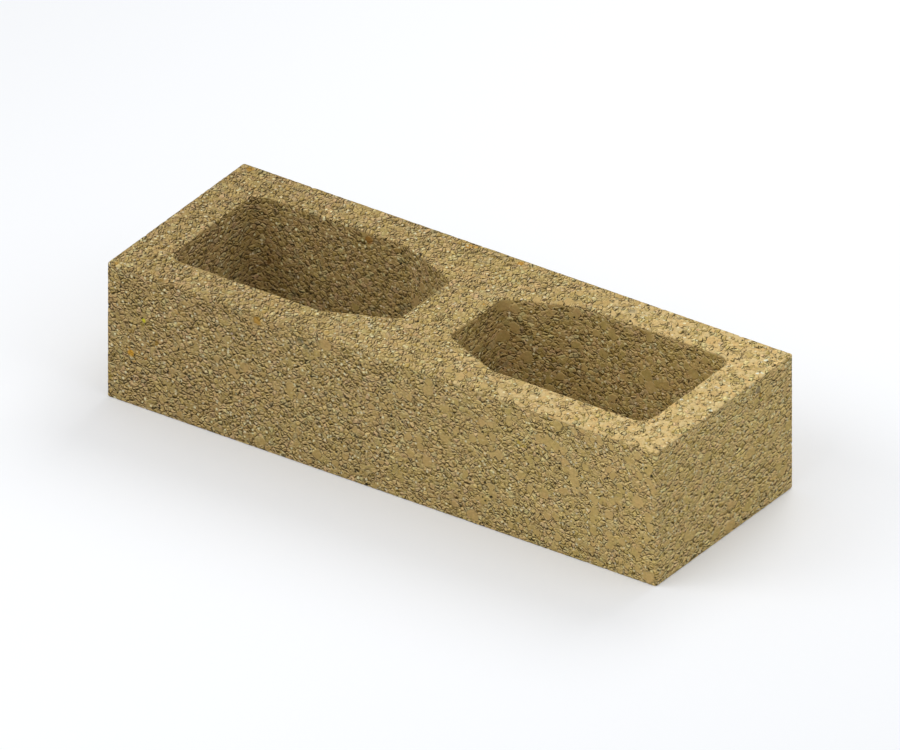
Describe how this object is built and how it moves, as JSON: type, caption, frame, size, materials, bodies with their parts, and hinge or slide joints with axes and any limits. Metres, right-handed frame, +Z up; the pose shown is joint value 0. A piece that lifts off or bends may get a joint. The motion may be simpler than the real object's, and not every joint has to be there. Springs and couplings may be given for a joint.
{
  "type": "hollow concrete masonry unit",
  "caption": "Hollow rectangular masonry unit of buff granular concrete, with open tapered cores that narrow towards the middle web.",
  "frame": {"origin": "middle of the lower bed face, which rests on the floor", "axes": "+X along the length, +Y across the width towards the back face shell, +Z up through the cores; the front face shell is at -Y"},
  "size_m": [0.3968, 0.1428, 0.0921],
  "materials": {
    "buff_concrete": "matte"
  },
  "bodies": {
    "root": {"hollow_block": "buff_concrete"}
  },
  "joints": []
}
